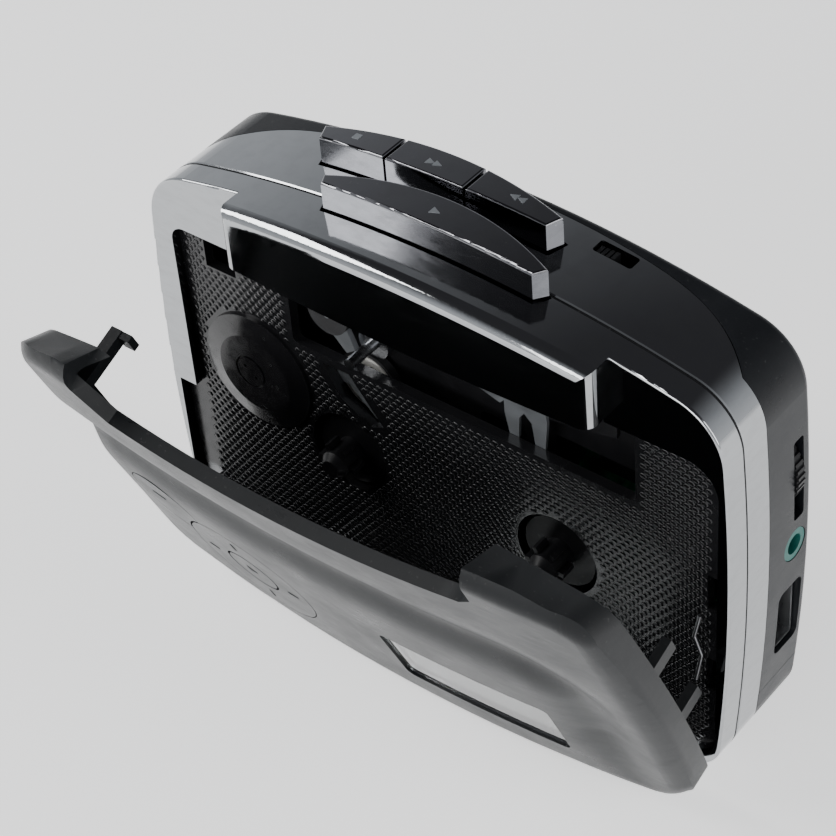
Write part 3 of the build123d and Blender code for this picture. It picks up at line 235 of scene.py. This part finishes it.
def sleeve(name, body, band):
    """A cell's shrunk sleeve: dark body with a metallic band and no lettering."""
    t = Tree(name)
    split = t.nodes.new("ShaderNodeSeparateXYZ")
    t.links.new(t.coords.outputs["Object"], split.inputs["Vector"])
    wave = t.math("FRACT", t.math("MULTIPLY", t.math("ADD", split.outputs["X"], 0.0502), 1.0 / 0.0503))
    ring = t.math("GREATER_THAN", wave, 0.72)
    grain = t.noise(900.0, 3.0)
    t.set(Base_Color=t.mix(ring, t.mix(grain, shade(body, 0.8), shade(body, 1.3)), shade(band, 1.0)))
    t.set(Metallic=t.math("MULTIPLY", ring, 0.8))
    t.set(Roughness=t.span(grain, 0.3, 0.7, 0.22, 0.36))
    t.set(Normal=t.bump(grain, 0.00001, 0.3))
    return t.material


def board(name, mask, trace):
    """Solder mask over a pattern of copper tracks."""
    t = Tree(name)
    tracks = t.cells(160.0, "DISTANCE_TO_EDGE")
    line = t.span(tracks, 0.05, 0.09, 1.0, 0.0)
    t.set(Base_Color=t.mix(line, shade(mask, 1.0), shade(trace, 1.0)))
    t.set(Roughness=t.span(t.noise(300.0), 0.3, 0.7, 0.2, 0.34))
    t.set(Normal=t.bump(line, 0.00003, 0.5))
    return t.material


FINISH = {
    "smoked_chrome": plating("smoked_chrome", (0.40, 0.41, 0.42)),
    "key_chrome": plating("key_chrome", (0.17, 0.17, 0.18), 0.07, 0.07),
    "shell_black": plastic("shell_black", (0.010, 0.011, 0.013), 0.32, 0.2),
    "door_grey": plastic("door_grey", (0.010, 0.011, 0.012), 0.32, 0.15, vary=0.1),
    "deck_black": gloss("deck_black", (0.010, 0.010, 0.011), 0.14),
    "spindle_black": plastic("spindle_black", (0.008, 0.008, 0.009), 0.42, 0.22),
    "film_black": plastic("film_black", (0.006, 0.006, 0.007), 0.55, 0.2),
    "white_acetal": plastic("white_acetal", (0.62, 0.61, 0.57), 0.38),
    "black_rubber": rubber("black_rubber", (0.015, 0.015, 0.016)),
    "zinc_plate": metal("zinc_plate", (0.40, 0.42, 0.44), 0.5, (1.0, 1.0, 22.0)),
    "black_steel": gloss("black_steel", (0.008, 0.008, 0.009), 0.3),
    "screw_steel": metal("screw_steel", (0.30, 0.31, 0.33), 0.30),
    "ground_steel": metal("ground_steel", (0.60, 0.61, 0.63), 0.2, (1.0, 30.0, 1.0)),
    "spring_steel": metal("spring_steel", (0.24, 0.24, 0.25), 0.3),
    "connector_tin": metal("connector_tin", (0.56, 0.57, 0.58), 0.28, (16.0, 1.0, 1.0)),
    "motor_can": metal("motor_can", (0.46, 0.47, 0.48), 0.34),
    "bearing_bronze": metal("bearing_bronze", (0.42, 0.28, 0.15), 0.42),
    "flywheel_brass": metal("flywheel_brass", (0.58, 0.45, 0.20), 0.3, (1.0, 26.0, 1.0)),
    "head_metal": metal("head_metal", (0.46, 0.46, 0.44), 0.22),
    "clear_pane": clear("clear_pane", (0.74, 0.77, 0.77, 1.0)),
    "board_green": board("board_green", (0.012, 0.10, 0.045), (0.03, 0.17, 0.07)),
    "jack_teal": gloss("jack_teal", (0.003, 0.095, 0.08), 0.4),
    "cell_wrap": sleeve("cell_wrap", (0.03, 0.03, 0.034), (0.55, 0.42, 0.22)),
}

slot_of = {s["node"]: s["material_slot"] for s in frame["record"]["subparts"]}


def dress(obj, finish):
    obj.data.materials.clear()
    obj.data.materials.append(finish)
    for polygon in obj.data.polygons:
        polygon.material_index = 0


for name, obj in nodes.items():
    dress(obj, FINISH[slot_of[name]])

# ---- places in the row frame, from millimetres off the front face and the foot ----------------
FRONT_Y = -0.023
BASE_Z = -0.042
DOOR_TILT = math.radians(23.4)
HINGE = (-3.0, 2.4)


def place(x, y, z):
    return Vector((x * MM, FRONT_Y + y * MM, BASE_Z + z * MM))


def mesh_from(bm, name):
    """A bmesh becomes a mesh that keeps no normals carried over from the CAD."""
    mesh = bpy.data.meshes.new(name)
    bm.to_mesh(mesh)
    bm.free()
    carried = mesh.attributes.get("custom_normal")
    if carried:
        mesh.attributes.remove(carried)
    return mesh


def new_piece(name, mesh, slot_name, body, angle):
    """A mesh in the row frame becomes a piece that rides a CAD body and takes that slot's finish.

    Edges sharper than angle, in degrees, stay sharp."""
    obj = bpy.data.objects.new(name, mesh)
    bpy.context.scene.collection.objects.link(obj)
    mesh.materials.clear()
    mesh.materials.append(FINISH[slot_name])
    mesh.polygons.foreach_set("use_smooth", [True] * len(mesh.polygons))
    mesh.set_sharp_from_angle(angle=math.radians(angle))
    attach(obj, body)
    return obj


# ---- door: the CAD door with a soft border, a broad valley and rounded edges --------------------
DOOR_CROWN = -11.0
DOOR_SAG = 4.4
DOOR_SAG_X = 60.0
PANEL_X = -8.5
PANEL_HALF = 53.5
PANEL_TOP = 47.0
PANEL_CORNER = 13.0
VALLEY_DEPTH = 1.9
VALLEY_WIDTH = 5.4
VALLEY_LOW = 4.0
VALLEY_FADE = 18.0
ROLL_WIDTH = 3.4
ROLL_DROP = 2.0
CUT_PITCH = 1.0
CASE_HALF_W = 57.0
CASE_MID_Z = 42.0
CORNER_X = 55.0
SIDE_BOW = 2.0
DOOR_TOP = 80.4
DOOR_TOP_DROP = 7.0
DOOR_CORNER = 6.5
FOOT_DROP = 2.4
FOOT_CORNER = 7.0
FACE_MIN_DEPTH = 4.2
FACE_NEAR = 0.2
WELD = 0.005 * MM


def inset(half_w, top, corner, x, z):
    """How far a point lies inside a block half_w each side of 0, with its top corners rounded."""
    side = half_w - abs(x)
    high = top - z
    if side >= corner or high >= corner:
        return min(side, high)
    return corner - math.hypot(corner - side, corner - high)


def door_edge_inset(x, z):
    """How far a point of the door's face lies inside the door's own outline."""
    bow = CASE_HALF_W - SIDE_BOW * ((z - CASE_MID_Z) / CASE_MID_Z) ** 2
    top = DOOR_TOP - DOOR_TOP_DROP * (x / CORNER_X) ** 2
    low = FOOT_DROP * (x / CORNER_X) ** 2
    return min(inset(bow, top, DOOR_CORNER, x, z), inset(bow, -low, FOOT_CORNER, x, -z))


def door_relief(x, z):
    """How far the door's face lies behind its plain crowned surface, in millimetres."""
    offset = inset(PANEL_HALF, PANEL_TOP, PANEL_CORNER, x - PANEL_X, z)
    fade = min(max((z - VALLEY_LOW) / VALLEY_FADE, 0.0), 1.0)
    valley = VALLEY_DEPTH * fade * math.exp(-((offset / VALLEY_WIDTH) ** 2))
    near = min(max(1.0 - door_edge_inset(x, z) / ROLL_WIDTH, 0.0), 1.05)
    return valley + ROLL_DROP * near ** 2.2


def door_crown(x, z):
    return DOOR_CROWN + DOOR_SAG * (x / DOOR_SAG_X) ** 2


def soft_door():
    """The CAD door, cut finely on its outer face and moved back by the relief."""
    to_door = Matrix.Translation(place(0, *HINGE)) @ Matrix.Rotation(-DOOR_TILT, 4, "X")
    to_door = to_door @ Matrix.Translation(-place(0, *HINGE))
    bm = bmesh.new()
    bm.from_mesh(nodes["door_shell"].data)
    bmesh.ops.remove_doubles(bm, verts=bm.verts, dist=0.000002)
    bm.transform(to_door)
    cuts = [((x * CUT_PITCH, 0, 0), (1, 0, 0)) for x in range(-57, 58)]
    cuts += [((0, 0, z * CUT_PITCH), (0, 0, 1)) for z in range(0, 81)]
    origin = place(0, 0, 0)
    for at, normal in cuts:
        outer = origin.y - FACE_MIN_DEPTH * MM
        faces = [f for f in bm.faces if f.normal.y < -0.9 and f.calc_center_median().y < outer]
        edges = {e for f in faces for e in f.edges}
        verts = {v for f in faces for v in f.verts}
        bmesh.ops.bisect_plane(
            bm, geom=list(verts) + list(edges) + faces, dist=0.00001,
            plane_co=origin + Vector(at) * MM, plane_no=normal,
        )
    for v in bm.verts:
        x = v.co.x / MM
        y = (v.co.y - FRONT_Y) / MM
        z = (v.co.z - BASE_Z) / MM
        crown = door_crown(x, z)
        relief = door_relief(x, z)
        if abs(y - crown) < FACE_NEAR:
            v.co.y += relief * MM
        elif y < crown + relief:
            v.co.y = FRONT_Y + (crown + relief) * MM
    bm.transform(to_door.inverted())
    bmesh.ops.remove_doubles(bm, verts=bm.verts, dist=WELD)
    bmesh.ops.dissolve_degenerate(bm, edges=bm.edges, dist=WELD)
    obj = new_piece("door_soft", mesh_from(bm, "door_soft"), "door_grey", "door", 40.0)
    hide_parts("door_shell")


soft_door()

# ---- deck: small raised pads in staggered rows ---------------------------------------------------
PAD_PITCH = 1.55
PAD_ROW = 0.98
PAD_HIGH = 0.16
PAD_SINK = 0.01
PAD_FIELD_HALF = 58.0
PAD_FIELD_LOW = 3.0
PAD_FIELD_TALL = 70.0
DECK_Y = 1.7
DOME = (-37.3, 42.2, 11.9)
HUBS = [(-18.75, 33.0, 8.3), (23.75, 33.0, 8.3)]
BAY = (-29.4, 39.9, 51.7, 76.0)
SLOTS = [(51.8, 54.6, 18.9, 27.1), (51.8, 54.6, 36.9, 45.1), (-46.8, -39.2, 60.0, 68.7)]
BRAKE_SLOT = (-23.4, -9.8, 40.4, 51.7)


DECK_LEFT, DECK_RIGHT = -51.0, 54.2
DECK_LOW, DECK_HIGH = 4.4, 69.4
DECK_MARGIN = 0.4
BRAKE_LOW, BRAKE_HIGH = 0.62, 1.42


def pad_allowed(x, z):
    """Pads keep off the deck's rounded corners, the dome, the hubs and the openings."""
    if not (DECK_LEFT < x < DECK_RIGHT and DECK_LOW < z < DECK_HIGH):
        return False
    if inset(53.0, 69.0, 6.0, x, z) < DECK_MARGIN or inset(52.6, -3.8, 6.5, x, -z) < DECK_MARGIN:
        return False
    for cx, cz, r in [DOME] + HUBS:
        if math.hypot(x - cx, z - cz) < r:
            return False
    for x0, x1, z0, z1 in [BAY] + SLOTS:
        if x0 < x < x1 and z0 < z < z1:
            return False
    x0, x1, z0, z1 = BRAKE_SLOT
    if x0 < x < x1 and z0 < z < z1:
        along = (x - x0) / (x1 - x0) + (z - z0) / (z1 - z0)
        return along < BRAKE_LOW or along > BRAKE_HIGH
    return True


def deck_pads():
    """Six-sided pads, each with a skirt, a bevel and a flat top, joined into one mesh."""
    verts = []
    faces = []
    rim = [(-0.5, 0.0), (-0.26, -0.46), (0.26, -0.46), (0.5, 0.0), (0.26, 0.46), (-0.26, 0.46)]
    rings = [(1.34, 1.02, 0.0), (1.26, 0.94, PAD_HIGH * 0.6), (0.98, 0.70, PAD_HIGH)]
    for row in range(int(PAD_FIELD_TALL / PAD_ROW)):
        z = PAD_FIELD_LOW + row * PAD_ROW
        for column in range(int(2 * PAD_FIELD_HALF / PAD_PITCH)):
            x = -PAD_FIELD_HALF + (column + 0.5 * (row % 2)) * PAD_PITCH
            if not pad_allowed(x, z):
                continue
            first = len(verts)
            for wide, tall, high in rings:
                for px, pz in rim:
                    verts.append(place(x + px * wide, DECK_Y + PAD_SINK - high, z + pz * tall))
            sides = len(rim)
            for level in (0, sides):
                for i in range(sides):
                    j = (i + 1) % sides
                    a = first + level
                    faces.append((a + i, a + j, a + sides + j, a + sides + i))
            faces.append(tuple(first + 2 * sides + i for i in range(sides)))
    mesh = bpy.data.meshes.new("deck_pads")
    mesh.from_pydata(verts, [], faces)
    mesh.update()
    new_piece("deck_pads", mesh, "deck_black", "case", 60.0)


deck_pads()

# ---- seams: painted shade, dark strips along the parting lines where the case shells meet -----------
SEAM_STAND = 0.03
SEAM_FRONT = 4.7
SEAM_BACK = 5.19
OUTWARD = 0.004


def seam_shade_strip(name, node, y0, y1):
    """A narrow black strip of painted shade that lies on a shell's outer face beside its parting line."""
    bm = bmesh.new()
    bm.from_mesh(nodes[node].data)
    for y, way in ((y0, -1), (y1, 1)):
        bmesh.ops.bisect_plane(
            bm, geom=list(bm.verts) + list(bm.edges) + list(bm.faces), dist=0.000001,
            plane_co=place(0, y, 0), plane_no=(0, way, 0), clear_outer=True,
        )
    centre = place(0, (y0 + y1) / 2, CASE_MID_Z)
    inner = [f for f in bm.faces if f.normal.dot(f.calc_center_median() - centre) <= OUTWARD]
    bmesh.ops.delete(bm, geom=inner, context="FACES")
    bm.normal_update()
    for v in bm.verts:
        v.co += v.normal * SEAM_STAND * MM
    new_piece(name, mesh_from(bm, name), "film_black", "case", 60.0)


# painted shade: a dark strip along the front frame's parting line, where the shells meet flush
seam_shade_strip("seam_front_painted_shade", "front_frame", SEAM_FRONT, SEAM_BACK)


def key_spring(node):
    """A key's spring, copied as a piece that rides the case in place of the CAD part."""
    mesh = nodes[node].data.copy()
    coil = new_piece(node + "_coil", mesh, "spring_steel", "case", 40.0)
    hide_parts(node)
    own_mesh(coil)


for key in ("stop", "forward", "rewind", "play"):
    key_spring("spring_" + key)

# ---- plain marks on the keys and the door pads ------------------------------------------------------
KEY_TOP = 89.2
KEY_FALL = 7.1
KEY_MARK_THICK = 0.09
DOOR_MARK_THICK = 0.07
REAR_KEYS_Y = 14.9
PLAY_KEY_Y = 5.3


def key_top(x, y):
    return KEY_TOP - KEY_FALL * (x / CORNER_X) ** 2


def arrow(x, y, size, way):
    return [(x - way * size / 2, y - size / 2), (x + way * size / 2, y), (x - way * size / 2, y + size / 2)]


def square(x, y, size):
    h = size / 2
    return [(x - h, y - h), (x + h, y - h), (x + h, y + h), (x - h, y + h)]


def prism(name, outlines, height_at, thick, slot_name, body, spot):
    """Thin flat prisms that lie on a surface: height_at gives its height, and spot its place."""
    bm = bmesh.new()
    for outline in outlines:
        low = [bm.verts.new(spot(a, b, height_at(a, b) - thick)) for a, b in outline]
        high = [bm.verts.new(spot(a, b, height_at(a, b) + thick)) for a, b in outline]
        count = len(outline)
        bm.faces.new(high)
        bm.faces.new(list(reversed(low)))
        for i in range(count):
            j = (i + 1) % count
            bm.faces.new((low[i], low[j], high[j], high[i]))
    bmesh.ops.recalc_face_normals(bm, faces=bm.faces)
    return new_piece(name, mesh_from(bm, name), slot_name, body, 30.0)


def key_mark(name, outlines, body):
    prism(name, outlines, key_top, KEY_MARK_THICK, "zinc_plate", body, place)


def double_arrow(x, way):
    return [arrow(x, REAR_KEYS_Y, 1.4, way), arrow(x + 1.4, REAR_KEYS_Y, 1.4, way)]


key_mark("mark_play", [arrow(1.0, PLAY_KEY_Y, 1.6, 1)], "key_play")
key_mark("mark_stop", [square(-22.0, REAR_KEYS_Y, 1.3)], "key_stop")
key_mark("mark_forward", double_arrow(-7.4, 1), "key_forward")
key_mark("mark_rewind", double_arrow(8.4, -1), "key_rewind")


def on_door(x, z, y):
    dy = y - HINGE[0]
    dz = z - HINGE[1]
    return place(
        x,
        HINGE[0] + dy * math.cos(DOOR_TILT) - dz * math.sin(DOOR_TILT),
        HINGE[1] + dz * math.cos(DOOR_TILT) + dy * math.sin(DOOR_TILT),
    )


def door_mark(name, outlines, body):
    prism(name, outlines, door_crown, DOOR_MARK_THICK, "film_black", body, on_door)


def bar(x, z, wide, tall):
    return [
        (x - wide / 2, z - tall / 2), (x + wide / 2, z - tall / 2),
        (x + wide / 2, z + tall / 2), (x - wide / 2, z + tall / 2),
    ]


RING_X = -27.0
RING_Z = 19.5
up_down = [bar(RING_X, RING_Z + side * 9.3, 0.5, 2.2) for side in (1, -1)]
left_right = [bar(RING_X + side * 9.2, RING_Z, 2.2, 0.5) for side in (-1, 1)]
door_mark("mark_ring", up_down + left_right, "ring_button")
door_mark("mark_centre", [arrow(RING_X, RING_Z, 2.0, 1)], "centre_button")
door_mark("mark_small", [bar(-43.0, 32.0, 3.0, 0.5)], "small_button")

# ---- camera ---------------------------------------------------------------------------------
CAMERA_AT = (0.19777, -0.24801, 0.27747)
CAMERA_TURN = (48.068, 3.796, 38.117)
CAMERA_LENS = 109.82
camera_data = bpy.data.cameras.new("camera")
camera = bpy.data.objects.new("camera", camera_data)
bpy.context.scene.collection.objects.link(camera)
camera.location = CAMERA_AT
camera.rotation_euler = tuple(math.radians(a) for a in CAMERA_TURN)
camera_data.lens = CAMERA_LENS
camera_data.sensor_width = 36.0
camera_data.clip_start = 0.01
bpy.context.scene.camera = camera


# ---- floor, world and lights -------------------------------------------------------------------
FLOOR_GLOW = 0.9


def floor():
    mesh = bpy.data.meshes.new("floor")
    size = 6.0
    low = cad_bounds[0][2] - 0.001
    mesh.from_pydata(
        [(-size, -size, low), (size, -size, low), (size, size, low), (-size, size, low)],
        [], [(0, 1, 2, 3)],
    )
    obj = bpy.data.objects.new("floor", mesh)
    bpy.context.scene.collection.objects.link(obj)
    t = Tree("floor_paper")
    soft = t.noise(3.0, 3.0)
    t.set(Base_Color=t.mix(soft, (0.86, 0.865, 0.87, 1.0), (0.90, 0.90, 0.90, 1.0)))
    t.set(Roughness=t.span(soft, 0.3, 0.7, 0.85, 0.95))
    t.set(Emission_Color=(1.0, 1.0, 1.0, 1.0), Emission_Strength=FLOOR_GLOW)
    obj.data.materials.append(t.material)
    return obj


floor()

world = bpy.data.worlds.new("studio")
bpy.context.scene.world = world
world.use_nodes = True
wt = world.node_tree
background = wt.nodes["Background"]
coords = wt.nodes.new("ShaderNodeTexCoord")
split = wt.nodes.new("ShaderNodeSeparateXYZ")
ramp = wt.nodes.new("ShaderNodeValToRGB")
wt.links.new(coords.outputs["Generated"], split.inputs["Vector"])
wt.links.new(split.outputs["Z"], ramp.inputs["Fac"])
wt.links.new(ramp.outputs["Color"], background.inputs["Color"])
ramp.color_ramp.elements[0].position = 0.0
ramp.color_ramp.elements[0].color = (0.9, 0.92, 0.95, 1.0)
ramp.color_ramp.elements[1].position = 0.75
ramp.color_ramp.elements[1].color = (0.05, 0.05, 0.055, 1.0)
mid = ramp.color_ramp.elements.new(0.35)
mid.color = (0.6, 0.62, 0.65, 1.0)
background.inputs["Strength"].default_value = 1.0


def area(name, at, target, size, power, size_y=None):
    data = bpy.data.lights.new(name, "AREA")
    data.shape = "RECTANGLE"
    data.size = size
    data.size_y = size_y or size
    data.energy = power
    obj = bpy.data.objects.new(name, data)
    bpy.context.scene.collection.objects.link(obj)
    obj.location = at
    obj.rotation_euler = (Vector(target) - Vector(at)).to_track_quat("-Z", "Y").to_euler()
    return obj


area("key_left", (-0.9, -0.5, 0.8), (0, 0, 0), 0.7, 10.0, 0.5)
area("fill_front", (0.1, -1.3, 0.35), (0, 0, 0), 1.0, 9.0, 0.5)
area("rim_right", (1.1, 0.1, 0.5), (0, 0, 0), 0.5, 5.0, 0.8)
